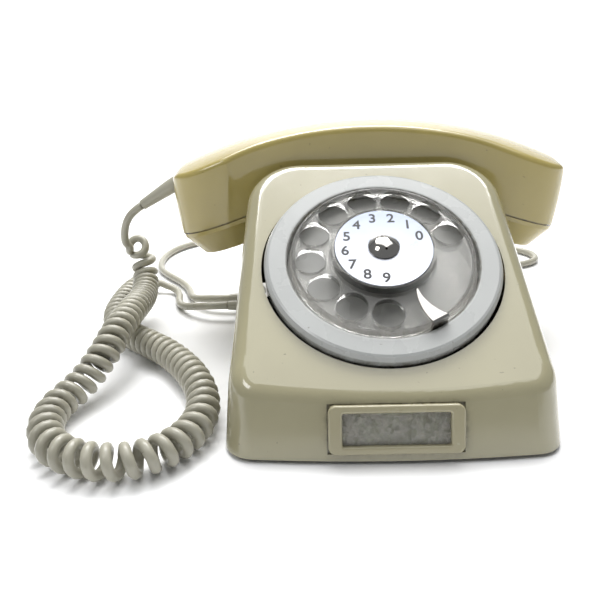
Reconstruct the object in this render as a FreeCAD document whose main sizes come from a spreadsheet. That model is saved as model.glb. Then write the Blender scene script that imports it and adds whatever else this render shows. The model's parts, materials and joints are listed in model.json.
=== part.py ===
import FreeCAD, Part
import Sketcher
import math
import os

from FreeCAD import Placement, Rotation, Vector

# Rotary telephone. Millimetres, +Z up, +X to the right of a person who dials, -Y towards them.
# The origin is on the table, under the middle of the object's box without its cords.

SIZES = {
    # case
    "case_width": 139.0,
    "case_depth": 206.0,
    "case_bottom": 1.6,
    "case_draft": 4.5,
    "case_corner": 13.0,
    "case_bow": 4.0,
    "wall": 2.5,
    "front_edge_y": -94.5,
    "front_edge_z": 28.5,
    "lip_y": 19.0,
    "lip_z": 97.6,
    "lip_corner": 27.0,
    "lip_overrun": 4.0,
    "shoulder": 9.0,
    "ledge_z": 52.5,
    "saddle_half": 46.0,
    "saddle_z": 83.0,
    "back_y": 78.0,
    "back_z": 82.0,
    # dial
    "dial_tilt": 32.0,
    "dial_y": -42.0,
    "dial_z": 68.5,
    "dial_hole": 54.6,
    "bezel_outer": 53.2,
    "bezel_inner": 43.0,
    "wheel_rim": 41.6,
    "hole_circle": 32.5,
    "finger_hole": 7.0,
    "hole_first": 20.0,
    "hole_step": 27.7,
    "plate_disc": 21.8,
    "nut_dome": 6.9,
    "stop_angle": -61.0,
    # label
    "label_width": 54.0,
    "label_height": 19.8,
    "label_tilt": 18.0,
    # handset
    "handset_length": 213.0,
    "handset_y": 48.0,
    "handset_top": 116.0,
    "handset_arc": 240.0,
    "grip_thick": 25.0,
    "grip_half": 20.5,
    "end_half": 26.0,
    "cap_tilt": 17.0,
    "cap_x": 82.0,
    "cap_z": 64.4,
    "cap_thick": 16.0,
    # cords
    "curly_wire": 4.6,
    "curly_outer": 15.5,
    "line_wire": 4.6,
}

doc = FreeCAD.newDocument("RotaryTelephone")
sheet = doc.addObject("Spreadsheet::Sheet", "Sizes")
for row, (alias, size) in enumerate(SIZES.items(), start=1):
    sheet.set(f"A{row}", alias)
    sheet.set(f"B{row}", str(size))
    sheet.setAlias(f"B{row}", alias)
doc.recompute()


def size(alias):
    """A driving dimension, read from the sheet."""
    return float(getattr(sheet, alias))


TILT = size("dial_tilt")
DIAL = Placement(Vector(0, size("dial_y"), size("dial_z")), Rotation(Vector(1, 0, 0), TILT))
subparts = []


def moved(x=0.0, y=0.0, z=0.0):
    return Placement(Vector(x, y, z), Rotation())


def subpart(obj, label, place=None):
    """Marks an object as one of the telephone's pieces."""
    obj.Label = label
    if place is not None:
        obj.Placement = place
    subparts.append(obj)
    return obj


def primitive(kind, sizes, place=None):
    """A Part primitive whose sizes are bound to expressions."""
    obj = doc.addObject(kind, kind.split("::")[1])
    for name, expression in sizes.items():
        obj.setExpression(name, str(expression))
    if place is not None:
        obj.Placement = place
    return obj


def box(length, width, height, x=0.0, y=0.0, z=0.0):
    """A box centred on x and y that stands on z."""
    made = primitive("Part::Box", {"Length": length, "Width": width, "Height": height})
    doc.recompute()
    made.Placement = moved(x - made.Length.Value / 2, y - made.Width.Value / 2, z)
    return made


def rod(radius, height, x=0.0, y=0.0, z=0.0, turn=None):
    """A cylinder that stands on z, or is turned about its foot."""
    place = Placement(Vector(x, y, z), turn if turn else Rotation())
    return primitive("Part::Cylinder", {"Radius": radius, "Height": height}, place)


def fuse(*parts):
    obj = doc.addObject("Part::MultiFuse", "Fuse")
    obj.Shapes = list(parts)
    return obj


def common(*parts):
    obj = doc.addObject("Part::MultiCommon", "Common")
    obj.Shapes = list(parts)
    return obj


def cut(base, *tools):
    tool = tools[0] if len(tools) == 1 else fuse(*tools)
    obj = doc.addObject("Part::Cut", "Cut")
    obj.Base = base
    obj.Tool = tool
    return obj


def group(*parts):
    """Identical pieces that share a node as separate solids."""
    obj = doc.addObject("Part::Compound", "Group")
    obj.Links = list(parts)
    return obj


def rounded(base, radius, chosen):
    """A Part::Fillet on the edges that the test chooses."""
    doc.recompute()
    edges = [i for i, e in enumerate(base.Shape.Edges, start=1) if chosen(e)]
    obj = doc.addObject("Part::Fillet", "Rounded")
    obj.Base = base
    obj.Edges = [(i, radius, radius) for i in edges]
    doc.recompute()
    return obj


def body(name):
    return doc.addObject("PartDesign::Body", name)


def sketch_on(owner, role):
    """A sketch on one of the body's own origin planes."""
    plane = next(f for f in owner.Origin.OriginFeatures if f.Role == role)
    sketch = owner.newObject("Sketcher::SketchObject", "Sketch")
    sketch.AttachmentSupport = (plane, "")
    sketch.MapMode = "FlatFace"
    return sketch


def pin_point(sketch, geometry, position, point):
    """Holds a point of a sketch at two expressions."""
    for kind, expression in zip(("DistanceX", "DistanceY"), point):
        index = sketch.addConstraint(Sketcher.Constraint(kind, -1, 1, geometry, position, 1.0))
        sketch.setExpression(f"Constraints[{index}]", str(expression))


def polygon(sketch, corners):
    """A closed outline of straight sides. A corner is two expressions."""
    first = sketch.GeometryCount
    count = len(corners)
    rough = [(value(sketch, x), value(sketch, y)) for x, y in corners]
    for i in range(count):
        a, b = rough[i], rough[(i + 1) % count]
        sketch.addGeometry(Part.LineSegment(Vector(*a, 0), Vector(*b, 0)))
    for i in range(count):
        following = first + (i + 1) % count
        sketch.addConstraint(Sketcher.Constraint("Coincident", first + i, 2, following, 1))
    for i, corner in enumerate(corners):
        pin_point(sketch, first + i, 1, corner)


def circle(sketch, x, y, radius):
    at = sketch.addGeometry(Part.Circle(Vector(value(sketch, x), value(sketch, y), 0), Vector(0, 0, 1), 1.0))
    pin_point(sketch, at, 3, (x, y))
    index = sketch.addConstraint(Sketcher.Constraint("Radius", at, value(sketch, radius)))
    sketch.setExpression(f"Constraints[{index}]", str(radius))


def value(obj, expression):
    found = obj.evalExpression(str(expression))
    return float(getattr(found, "Value", found))


def pad(owner, sketch, length, midplane=False, taper=None):
    feature = owner.newObject("PartDesign::Pad", "Pad")
    feature.Profile = sketch
    feature.setExpression("Length", str(length))
    if midplane:
        feature.SideType = "Symmetric"
    if taper is not None:
        feature.TaperAngle = taper
    doc.recompute()
    return feature


def revolved(owner, corners):
    """A turned piece: its half section as pairs of radius and height expressions."""
    sketch = sketch_on(owner, "XZ_Plane")
    polygon(sketch, corners)
    feature = owner.newObject("PartDesign::Revolution", "Turned")
    feature.Profile = sketch
    feature.ReferenceAxis = (sketch, ["V_Axis"])
    feature.Angle = 360
    doc.recompute()
    return feature


def turned(label, corners, place=None):
    piece = body(label)
    revolved(piece, corners)
    return subpart(piece, label, place)


# ---------------------------------------------------------------- case

FOOT = size("case_bottom")
HALF_WIDTH = size("case_width") / 2
HALF_DEPTH = size("case_depth") / 2
FRONT_SLANT = (HALF_DEPTH + size("front_edge_y")) / size("front_edge_z")
SIDE_SLANT = math.tan(math.radians(size("case_draft")))
TALL = 120.0


def upright(edge):
    return abs(edge.tangentAt(edge.FirstParameter).z) > 0.99


def plan_outline(z, inset):
    """The case's outline at a height: a bowed front that leans back, leaning sides, four round corners."""
    half = HALF_WIDTH - SIDE_SLANT * z - inset
    front = -HALF_DEPTH + FRONT_SLANT * z + inset
    back = HALF_DEPTH - SIDE_SLANT * z - inset
    side_front = front + size("case_bow")
    straight = Part.makePolygon([Vector(half, side_front, z), Vector(half, back, z), Vector(-half, back, z),
                                 Vector(-half, side_front, z)])
    bowed = Part.Arc(Vector(-half, side_front, z), Vector(0, front, z), Vector(half, side_front, z)).toShape()
    prism = Part.Face(Part.Wire(straight.Edges + [bowed])).extrude(Vector(0, 0, 1))
    radius = size("case_corner") - inset
    prism = prism.makeFillet(radius, [e for e in prism.Edges if upright(e)])
    return min(prism.Faces, key=lambda face: face.CenterOfMass.z).OuterWire


def plan_block(inset, foot, head):
    """The case's plan, drawn up from foot to head."""
    return Part.makeLoft([plan_outline(foot, inset), plan_outline(head, inset)], True, True)


def side_block(corners):
    """A side outline, as pairs of y and z, drawn across the case."""
    points = [Vector(-HALF_WIDTH, y, z) for y, z in corners]
    return Part.Face(Part.makePolygon(points + points[:1])).extrude(Vector(2 * HALF_WIDTH, 0, 0))


def slope_block(inset):
    """What lies under the dial slope and in front of its upper edge, drawn square to the slope."""
    run = size("lip_y") - size("dial_y")
    rise = size("lip_z") - size("dial_z")
    tilt = math.radians(TILT)
    top = run * math.cos(tilt) + rise * math.sin(tilt) + size("lip_overrun") - inset
    surface = rise * math.cos(tilt) - run * math.sin(tilt) - inset
    block = Part.makeBox(2 * TALL, 2 * TALL, TALL, Vector(-TALL, top - 2 * TALL, surface - TALL))
    block.Placement = DIAL
    return block


def slope_face(solid):
    outward = DIAL.Rotation.multVec(Vector(0, 0, 1))
    flat = [f for f in solid.Faces if f.Surface.TypeId == "Part::GeomPlane"]
    return next(f for f in flat if f.normalAt(0, 0).dot(outward) > 0.999)


def wedge(inset):
    """The front of the case, under the dial, with its soft shoulders."""
    solid = plan_block(inset, FOOT, TALL).common(slope_block(inset))
    corners = [e for e in solid.Edges if e.CenterOfMass.y > size("lip_y") - 8 and abs(e.CenterOfMass.x) > 50
               and abs(e.tangentAt(e.FirstParameter).dot(DIAL.Rotation.multVec(Vector(0, 0, 1)))) > 0.99]
    solid = solid.makeFillet(size("lip_corner") - inset, corners)
    solid = solid.makeFillet(size("shoulder") - inset, slope_face(solid).Edges)
    front = Part.makeBox(2 * TALL, 2 * TALL, TALL, Vector(-TALL, size("lip_y") - inset - 2 * TALL, FOOT))
    return solid.common(front)


def saddle(inset):
    """The block between the two handset ends, under the grip."""
    half = size("saddle_half") - inset
    front = size("lip_y") - 8 - inset
    depth = size("back_y") + 8 + inset - front
    return Part.makeBox(2 * half, depth, size("saddle_z") - inset - FOOT, Vector(-half, front, FOOT))


def rear(inset):
    """The back of the case, behind the handset."""
    outline = side_block([
        (size("back_y") + inset, FOOT), (size("back_y") + inset, size("back_z") - inset),
        (size("back_y") + 9 - inset * 0.5, size("back_z") - inset), (HALF_DEPTH, 34 - inset),
        (HALF_DEPTH, FOOT)])
    return outline.common(plan_block(inset, FOOT, TALL))


def ledge(inset):
    """The low part of the case beside the saddle, under the handset's ends."""
    front = size("lip_y") - 8 - inset
    depth = HALF_DEPTH - size("back_y") + size("back_y") - front
    keep = Part.makeBox(2 * TALL, depth, size("ledge_z") - inset - FOOT, Vector(-TALL, front, FOOT))
    return keep.common(plan_block(inset, FOOT, TALL))


def case_block(inset):
    """The whole case as one block, or the hollow inside it when it is inset by the wall."""
    return wedge(inset).multiFuse([ledge(inset), saddle(inset), rear(inset)])


def feature(label, shape, place=None):
    """A piece whose shape neither a body nor a primitive gives."""
    obj = doc.addObject("Part::Feature", label)
    own_place = shape.Placement
    obj.Shape = shape
    return subpart(obj, label, place.multiply(own_place) if place else None)


def on_front_face(height):
    """A frame on the case's front face: X across, Y up the face, Z out of it."""
    y = -HALF_DEPTH + FRONT_SLANT * height
    lean = math.degrees(math.atan(FRONT_SLANT))
    return Placement(Vector(0, y, height), Rotation(Vector(1, 0, 0), 90 - lean))


LABEL = on_front_face(14.2)
SCREW_SPOTS = [(x, y) for x in (-52, 52) for y in (-72, 86)]
FOOT_SPOTS = [(x, y) for x in (-48, 48) for y in (-84, 72)]
PLUNGER_X = 38.0
GLAND_Y = {"curly": 46.0, "line": 58.0}
GLAND_Z = 8.4
BOSS_ANGLES = (70, 190, 310)
BOSS_RING = 57.0
PLATE_FOOT = 2.6
PLATE_THICK = 1.4
CARD_BACK = -1.7


def ring_spots(radius, angles):
    return [(radius * math.cos(math.radians(a)), radius * math.sin(math.radians(a))) for a in angles]


def case_shell():
    outer = case_block(0)
    wall = size("wall")
    below = Part.makeBox(4 * TALL, 4 * TALL, TALL, Vector(-2 * TALL, -2 * TALL, FOOT - TALL))
    shell = outer.cut(case_block(wall)).cut(below)
    stiff = []
    for x, y in SCREW_SPOTS:
        post = Part.makeCylinder(4.5, 30, Vector(x, y, PLATE_FOOT + PLATE_THICK))
        web = Part.makeBox(18, 3, 26, Vector(x if x > 0 else x - 18, y - 1.5, PLATE_FOOT + PLATE_THICK + 1))
        stiff.append(post.fuse(web).common(outer).cut(Part.makeCylinder(1.6, 16, Vector(x, y, PLATE_FOOT))))
    bosses, pilots = [], []
    for u, v in ring_spots(BOSS_RING, BOSS_ANGLES):
        boss = Part.makeCylinder(3.6, 6.0, Vector(u, v, -13.0))
        boss.Placement = DIAL
        bosses.append(boss.common(outer))
        pilot = Part.makeCylinder(1.0, 5.0, Vector(u, v, -13.0))
        pilot.Placement = DIAL
        pilots.append(pilot)
    shell = shell.multiFuse(stiff + bosses)
    hole = Part.makeCylinder(size("dial_hole"), 40, Vector(0, 0, -12.9))
    hole.Placement = DIAL
    recess = Part.makeBox(size("label_width") + 0.6, size("label_height") + 0.6, 6,
                          Vector(-size("label_width") / 2 - 0.3, -size("label_height") / 2 - 0.3, CARD_BACK))
    recess.Placement = LABEL
    tools = [hole, recess] + pilots
    for x in (-PLUNGER_X, PLUNGER_X):
        tools.append(Part.makeCylinder(3.6, 12, Vector(x, size("handset_y"), size("saddle_z") - 8)))
    for name in ("curly", "line"):
        tools.append(Part.makeCylinder(3.2, 16, Vector(-HALF_WIDTH - 6, GLAND_Y[name], GLAND_Z), Vector(1, 0, 0)))
    for tool in tools:
        shell = shell.cut(tool)
    return shell.removeSplitter()


feature("case_shell", case_shell())


def base_plate():
    plate = Part.Face(plan_outline(PLATE_FOOT, size("wall") + 0.6)).extrude(Vector(0, 0, PLATE_THICK))
    for x, y in SCREW_SPOTS:
        plate = plate.cut(Part.makeCylinder(1.9, 9, Vector(x, y, 0)))
    for i in range(7):
        plate = plate.cut(Part.makeBox(30, 2.4, 9, Vector(-15, 44 + 6 * i, 0)))
    return plate


feature("base_plate", base_plate())

screws = [fuse(rod(3.2, 1.0, x, y, PLATE_FOOT - 1.0), rod(1.5, 14, x, y, PLATE_FOOT - 0.5)) for x, y in SCREW_SPOTS]
subpart(group(*screws), "base_screws")

subpart(group(*[rod(8.0, PLATE_FOOT, x, y, 0) for x, y in FOOT_SPOTS]), "rubber_feet")

# The label: a raised frame, a card behind it and a clear window with a thumb notch.
frame = body("label_frame")
outline = sketch_on(frame, "XY_Plane")
half_w, half_h = "Sizes.label_width / 2", "Sizes.label_height / 2"
polygon(outline, [(f"-{half_w}", f"-{half_h}"), (half_w, f"-{half_h}"), (half_w, half_h), (f"-{half_w}", half_h)])
window = [(f"{sx}({half_w} - 5.6)", f"{sy}({half_h} - 3.2)") for sx, sy in (("-", "-"), ("", "-"), ("", ""), ("-", ""))]
polygon(outline, window)
frame_pad = pad(frame, outline, 3.4)


def body_fillet(owner, base, radius, chosen):
    edges = [f"Edge{i}" for i, e in enumerate(base.Shape.Edges, start=1) if chosen(e)]
    feature_made = owner.newObject("PartDesign::Fillet", "Fillet")
    feature_made.Base = (base, edges)
    feature_made.setExpression("Radius", str(radius))
    doc.recompute()
    return feature_made


half_width = size("label_width") / 2
frame_corners = body_fillet(frame, frame_pad, 3.2,
                            lambda e: upright(e) and abs(abs(e.CenterOfMass.x) - half_width) < 0.1)
inner_corners = body_fillet(frame, frame_corners, 0.9,
                            lambda e: upright(e) and abs(abs(e.CenterOfMass.x) - half_width + 5.6) < 0.1)
body_fillet(frame, inner_corners, 1.0,
            lambda e: e.CenterOfMass.z > 3.3)
subpart(frame, "label_frame", LABEL.multiply(moved(z=-1.2)))

card = box("Sizes.label_width - 5", "Sizes.label_height - 3", 0.4)
subpart(card, "label_card")
card.Placement = LABEL.multiply(moved(-size("label_width") / 2 + 2.5, -size("label_height") / 2 + 1.5, CARD_BACK))
pane = cut(box("Sizes.label_width - 11.4", "Sizes.label_height - 6.6", 0.8),
           rod(60, 2, 0, 65.2, -0.5))
subpart(pane, "label_window", LABEL.multiply(moved(z=-1.15)))

# The strain reliefs of the two cords, in the case's left side near the back.
WALL_AT_GLAND = HALF_WIDTH - SIDE_SLANT * GLAND_Z
OUTWARD = Rotation(Vector(0, 1, 0), -90)
for name, y in GLAND_Y.items():
    collar = primitive("Part::Cylinder", {"Radius": 4.4, "Height": 1.6},
                       Placement(Vector(-WALL_AT_GLAND - 4.5 * SIDE_SLANT, y, GLAND_Z), OUTWARD))
    stem = primitive("Part::Cylinder", {"Radius": 3.0, "Height": 8.0},
                     Placement(Vector(-WALL_AT_GLAND + 5.0, y, GLAND_Z), OUTWARD))
    sleeve = primitive("Part::Cone", {"Radius1": 3.4, "Radius2": 2.7, "Height": 12.0},
                       Placement(Vector(-WALL_AT_GLAND - 1.0, y, GLAND_Z), OUTWARD))
    subpart(fuse(collar, stem, sleeve), f"{name}_cord_gland")
GLAND_TIP_X = -WALL_AT_GLAND - 13.0

# ---------------------------------------------------------------- dial

turned("dial_bezel", [
    ("Sizes.bezel_inner", -3.3), ("Sizes.bezel_inner + 0.5", -2.8), ("Sizes.bezel_inner + 1.2", -2.7),
    ("Sizes.bezel_outer - 2.2", -2.7), ("Sizes.bezel_outer - 1.2", -3.1), ("Sizes.bezel_outer", -5.2),
    ("Sizes.bezel_outer", -9.4), ("Sizes.bezel_outer - 5", -9.4), ("Sizes.bezel_outer - 6.5", -12.9),
    ("Sizes.bezel_inner", -12.9)], DIAL)
turned("dial_face", [(7.0, -10.4), ("Sizes.bezel_inner - 1.6", -10.4), ("Sizes.bezel_inner - 1.6", -12.9),
                     ("Sizes.bezel_inner - 0.1", -12.9), ("Sizes.bezel_inner - 0.1", -9.2), (7.0, -9.2)], DIAL)

wheel = body("finger_wheel")
revolved(wheel, [
    (5.0, 3.0), ("Sizes.plate_disc + 0.3", 3.0), ("Sizes.plate_disc + 0.3", 4.0), ("Sizes.plate_disc + 1.0", 4.0),
    ("Sizes.plate_disc + 1.6", 0.6), ("Sizes.plate_disc + 2.4", 0), ("Sizes.wheel_rim - 2.2", 0),
    ("Sizes.wheel_rim - 0.8", -0.9), ("Sizes.wheel_rim", -3.4), ("Sizes.wheel_rim", -5.2),
    ("Sizes.wheel_rim - 1.4", -5.2), ("Sizes.wheel_rim - 2.4", -2.8), (9.0, -2.8), (9.0, -6.4), (5.0, -6.4)])
holes = sketch_on(wheel, "XY_Plane")
circle(holes, "Sizes.hole_circle * cos(Sizes.hole_first * 1 deg)", "Sizes.hole_circle * sin(Sizes.hole_first * 1 deg)",
       "Sizes.finger_hole")
drilled = wheel.newObject("PartDesign::Pocket", "FingerHole")
drilled.Profile = holes
drilled.SideType = "Symmetric"
drilled.Length = 30
doc.recompute()
ring = wheel.newObject("PartDesign::PolarPattern", "FingerHoles")
ring.Originals = [drilled]
ring.Axis = (holes, ["N_Axis"])
ring.setExpression("Angle", "Sizes.hole_step * 9")
ring.Occurrences = 10
wheel.Tip = ring
doc.recompute()
subpart(wheel, "finger_wheel", DIAL)

turned("number_plate", [(5.0, 3.0), ("Sizes.plate_disc", 3.0), ("Sizes.plate_disc", 3.7),
                        ("Sizes.plate_disc - 0.3", 3.9), (5.0, 3.9)], DIAL)


def dome_nut():
    """A shallow chromed dome on a stem, with two small holes for a pin spanner."""
    reach = size("nut_dome")
    rise = 3.0
    ball = (reach * reach + rise * rise) / (2 * rise)
    dome = Part.makeSphere(ball, Vector(0, 0, 4.5 + rise - ball))
    dome = dome.common(Part.makeCylinder(reach, 2 * rise, Vector(0, 0, 4.5)))
    nut = dome.fuse([Part.makeCylinder(reach, 0.6, Vector(0, 0, 3.9)), Part.makeCylinder(4.9, 8.6, Vector(0, 0, -4.6))])
    for side in (-1, 1):
        nut = nut.cut(Part.makeCylinder(0.6, 5, Vector(0.6 * side, -3.4 * side, 5.0)))
    return nut


feature("dial_centre_nut", dome_nut(), DIAL)


def finger_stop():
    """A bent blade: it stands at the edge of the dial's face, bends over the wheel's rim and narrows to a point."""
    foot, rim, top, thick = -9.2, size("bezel_inner") - 0.4, 2.4, 0.9
    tip = 25.2
    path = [(rim, foot), (rim, top - 0.8), (rim - 0.8, top), (tip, top), (tip, top - thick), (rim - 1.2, top - thick),
            (rim - thick, top - 1.3), (rim - thick, foot)]
    points = [Vector(r, -6, z) for r, z in path]
    blade = Part.Face(Part.makePolygon(points + points[:1])).extrude(Vector(0, 12, 0))
    low, high = -12, 14
    full, crescent = Vector(34.5, -3.9, low), Vector(34.5, 0.2, low)
    near, far = [Vector(tip, y, low) for y in (-0.3, 0.3)]
    left, right = [Vector(rim, y, low) for y in (-3.9, 3.9)]
    edges = [Part.Arc(near, full, left).toShape(), Part.LineSegment(left, right).toShape(),
             Part.Arc(right, crescent, far).toShape(), Part.LineSegment(far, near).toShape()]
    trim = Part.Face(Part.Wire(edges)).extrude(Vector(0, 0, high - low))
    blade = blade.common(trim)
    blade.rotate(Vector(0, 0, 0), Vector(0, 0, 1), size("stop_angle"))
    return blade


feature("finger_stop", finger_stop(), DIAL)

# The dial's works, on a frame plate behind the face, listed from the front to the back.
FRAME_FRONT = -12.9
FRAME_BACK = -14.9
BACK_PLATE = -35.0
SPINDLE = 1.5
RUNNING = 0.05
MODULE = 0.7
MAIN_TEETH, PINION_TEETH, SECOND_TEETH = 64, 16, 40
MAIN_RATIO = MAIN_TEETH / PINION_TEETH
SECOND_RATIO = SECOND_TEETH / PINION_TEETH
MIDDLE_AT = ring_spots(MODULE * (MAIN_TEETH + PINION_TEETH) / 2, (200,))[0]
second_reach = MODULE * (SECOND_TEETH + PINION_TEETH) / 2
governor_ring = 30.0
middle_ring = math.hypot(*MIDDLE_AT)
opened = math.degrees(math.acos((middle_ring ** 2 + governor_ring ** 2 - second_reach ** 2)
                                / (2 * middle_ring * governor_ring)))
GOVERNOR_AT = ring_spots(governor_ring, (200 + opened,))[0]
PILLARS = ring_spots(31.0, (20, 110, 310))
WORK_SPOTS = [(0, 0, 3.0), (*MIDDLE_AT, SPINDLE), (*GOVERNOR_AT, SPINDLE)]


def gear(teeth, foot, thick, bore, phase, at=(0, 0)):
    """A spur gear with straight-sided teeth, cut with play at the pitch line."""
    pitch = MODULE * teeth / 2
    step = 2 * math.pi / teeth
    profile = [(pitch - 1.15 * MODULE, 0.34), (pitch, 0.215), (pitch + 0.75 * MODULE, 0.11)]
    corners = []
    for i in range(teeth):
        middle = (i + phase) * step
        sides = [(r, -w) for r, w in profile] + [(r, w) for r, w in reversed(profile)]
        corners += [Vector(r * math.cos(middle + w * step), r * math.sin(middle + w * step), foot) for r, w in sides]
    shape = Part.Face(Part.makePolygon(corners + corners[:1])).extrude(Vector(0, 0, thick))
    if bore:
        shape = shape.cut(Part.makeCylinder(bore, thick, Vector(0, 0, foot)))
    shape.translate(Vector(*at, 0))
    return shape


def mesh_phase(teeth, towards):
    """The phase, in teeth, that puts a gap in the direction given in degrees."""
    return (towards / 360.0 * teeth + 0.5) % 1.0


def works_plate(radius, foot, thick):
    plate = Part.makeCylinder(radius, thick, Vector(0, 0, foot))
    for x, y, spindle in WORK_SPOTS:
        plate = plate.cut(Part.makeCylinder(spindle + RUNNING, thick, Vector(x, y, foot)))
    return plate


frame_plate = works_plate(46.0, FRAME_BACK, FRAME_FRONT - FRAME_BACK)
for u, v in ring_spots(BOSS_RING, BOSS_ANGLES):
    angle = math.degrees(math.atan2(v, u))
    ear = Part.makeBox(17, 8, 1.85, Vector(43, -4, FRAME_BACK))
    ear.rotate(Vector(0, 0, 0), Vector(0, 0, 1), angle)
    frame_plate = frame_plate.fuse(ear).cut(Part.makeCylinder(1.6, 9, Vector(u, v, FRAME_BACK - 3)))
feature("dial_frame", frame_plate, DIAL)
feature("dial_back_plate", works_plate(37.0, BACK_PLATE, 1.6), DIAL)
PILLAR_LENGTH = FRAME_BACK - (BACK_PLATE + 1.6)
pillars = group(*[rod(2.2, PILLAR_LENGTH, x, y, BACK_PLATE + 1.6) for x, y in PILLARS])
subpart(pillars, "dial_pillars", DIAL)
dial_screws = [fuse(rod(2.6, 1.4, u, v, FRAME_BACK - 1.4), rod(0.9, 6, u, v, FRAME_BACK - 0.5))
               for u, v in ring_spots(BOSS_RING, BOSS_ANGLES)]
subpart(group(*dial_screws), "dial_screws", DIAL)

subpart(fuse(rod(3.0, 32.0, 0, 0, -36.6), rod(4.9, 2.0, 0, 0, -6.6)), "dial_shaft", DIAL)
main_gear = gear(MAIN_TEETH, -19.0, 2.0, 3.0, mesh_phase(MAIN_TEETH, 200))
main_hub = Part.makeCylinder(5.0, 2.2, Vector(0, 0, -21.0)).cut(Part.makeCylinder(3.0, 4.0, Vector(0, 0, -22.0)))
feature("main_gear", main_gear.fuse(main_hub), DIAL)

middle = gear(PINION_TEETH, -19.0, 2.0, 0, 0.0)
middle.rotate(Vector(0, 0, 0), Vector(0, 0, 1), 20)
middle.translate(Vector(*MIDDLE_AT, 0))
second = gear(SECOND_TEETH, -23.6, 1.8, 0, 0.0)
second.translate(Vector(*MIDDLE_AT, 0))
towards_governor = math.degrees(math.atan2(GOVERNOR_AT[1] - MIDDLE_AT[1], GOVERNOR_AT[0] - MIDDLE_AT[0]))
second.rotate(Vector(*MIDDLE_AT, 0), Vector(0, 0, 1), towards_governor)
spindle = Part.makeCylinder(SPINDLE, 20.2, Vector(*MIDDLE_AT, -34.6))
boss = Part.makeCylinder(3.0, 8.0, Vector(*MIDDLE_AT, -25.0))
feature("intermediate_gear", middle.multiFuse([second, spindle, boss]), DIAL)


def pulse_cam():
    """Three lobes that open the pulse contacts."""
    cam = Part.makeCylinder(4.2, 2.0)
    for turn in (0, 120, 240):
        lobe = Part.makeCylinder(1.6, 2.0, Vector(4.2, 0, 0))
        lobe.rotate(Vector(0, 0, 0), Vector(0, 0, 1), turn)
        cam = cam.fuse(lobe)
    return cam.cut(Part.makeCylinder(SPINDLE, 2.0))


feature("pulse_cam", pulse_cam(), DIAL.multiply(moved(*MIDDLE_AT, -29.0)))

governor = gear(PINION_TEETH, -23.6, 1.8, 0, 0.5)
governor.translate(Vector(*GOVERNOR_AT, 0))
governor.rotate(Vector(*GOVERNOR_AT, 0), Vector(0, 0, 1), towards_governor + 180)
spin = Part.makeCylinder(SPINDLE, 20.2, Vector(*GOVERNOR_AT, -34.6))
arm = Part.makeBox(11.0, 3.6, 1.2, Vector(GOVERNOR_AT[0] - 5.5, GOVERNOR_AT[1] - 1.8, -26.0))
feature("governor_spindle", governor.multiFuse([spin, arm]), DIAL)
weights = []
for side in (-1, 1):
    weight = Part.makeCylinder(6.6, 4.0, Vector(0, 0, -30.0)).cut(Part.makeCylinder(3.2, 4.0, Vector(0, 0, -30.0)))
    half_ring = Part.makeBox(14, 6.0, 4.0, Vector(-7, 0.8 if side > 0 else -6.8, -30.0))
    weight = weight.common(half_ring)
    weight = weight.fuse(Part.makeCylinder(0.8, 4.0, Vector(4.6, 1.9 * side, -30.0)))
    weight.translate(Vector(*GOVERNOR_AT, 0))
    weights.append(weight)
feature("governor_weights", Part.makeCompound(weights), DIAL)
cup = cut(rod(8.8, 6.0, *GOVERNOR_AT, -33.4), rod(7.2, 6.0, *GOVERNOR_AT, -32.2), rod(2.0, 8.0, *GOVERNOR_AT, -34))
subpart(cup, "governor_cup", DIAL)


def leaf_stack(count, length, width, gap):
    """Contact springs: thin strips clamped at one end between blocks."""
    strips = [Part.makeBox(length, 0.4, width, Vector(0, gap * i, 0)) for i in range(count)]
    blocks = [Part.makeBox(8, gap - 0.4, width + 1, Vector(0, gap * i + 0.4, -0.5)) for i in range(count - 1)]
    return strips[0].multiFuse(strips[1:] + blocks)


contacts = leaf_stack(4, 24.0, 3.0, 1.6)
contacts.translate(Vector(-15.5, -1.0, -30.0))
feature("pulse_contacts", contacts, DIAL.multiply(moved(-9.0, 16.0, 0)))


def clock_spring():
    """The flat spring that brings the wheel back, wound in a spiral round the hub."""
    turns, inner, outer, strip = 4, 5.6, 11.4, 0.35
    steps = 24 * turns
    line = []
    for i in range(steps + 1):
        share = i / steps
        angle = 2 * math.pi * turns * share
        line.append((inner + (outer - inner) * share, angle))
    inside = [Vector(r * math.cos(a), r * math.sin(a), 0) for r, a in line]
    outside = [Vector((r + strip) * math.cos(a), (r + strip) * math.sin(a), 0) for r, a in reversed(line)]
    curves = []
    for points in (inside, outside):
        spline = Part.BSplineCurve()
        spline.interpolate(points)
        curves.append(spline.toShape())
    ends = [Part.LineSegment(inside[-1], outside[0]).toShape(), Part.LineSegment(outside[-1], inside[0]).toShape()]
    return Part.Face(Part.Wire([curves[0], ends[0], curves[1], ends[1]])).extrude(Vector(0, 0, 4.0))


feature("return_spring", clock_spring(), DIAL.multiply(moved(z=-28.6)))


# ---------------------------------------------------------------- cradle

HANDSET_Y = size("handset_y")
GRIP_UNDER = size("handset_top") - size("handset_arc")
UNDER_ARC = size("handset_arc") - size("grip_thick")
PLUNGER_TOP = GRIP_UNDER + math.sqrt(UNDER_ARC ** 2 - (PLUNGER_X + 3.5) ** 2) - 0.4
YOKE_Z = 58.0
pins = []
for x in (-PLUNGER_X, PLUNGER_X):
    pin = rod(3.5, PLUNGER_TOP - YOKE_Z, x, HANDSET_Y, YOKE_Z)
    pins.append(rounded(pin, 1.2, lambda e: e.CenterOfMass.z > PLUNGER_TOP - 0.1))
subpart(group(*pins), "cradle_plungers")
yoke = fuse(box(2 * PLUNGER_X + 10, 9.0, 3.0, 0, HANDSET_Y, YOKE_Z - 3.0), rod(1.5, 10.0, 0, HANDSET_Y, YOKE_Z - 13.0))
subpart(yoke, "cradle_yoke")
BRACKET_Z = 40.0
BRACKET_HALF = 51.5
SHEET = 1.5
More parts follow.
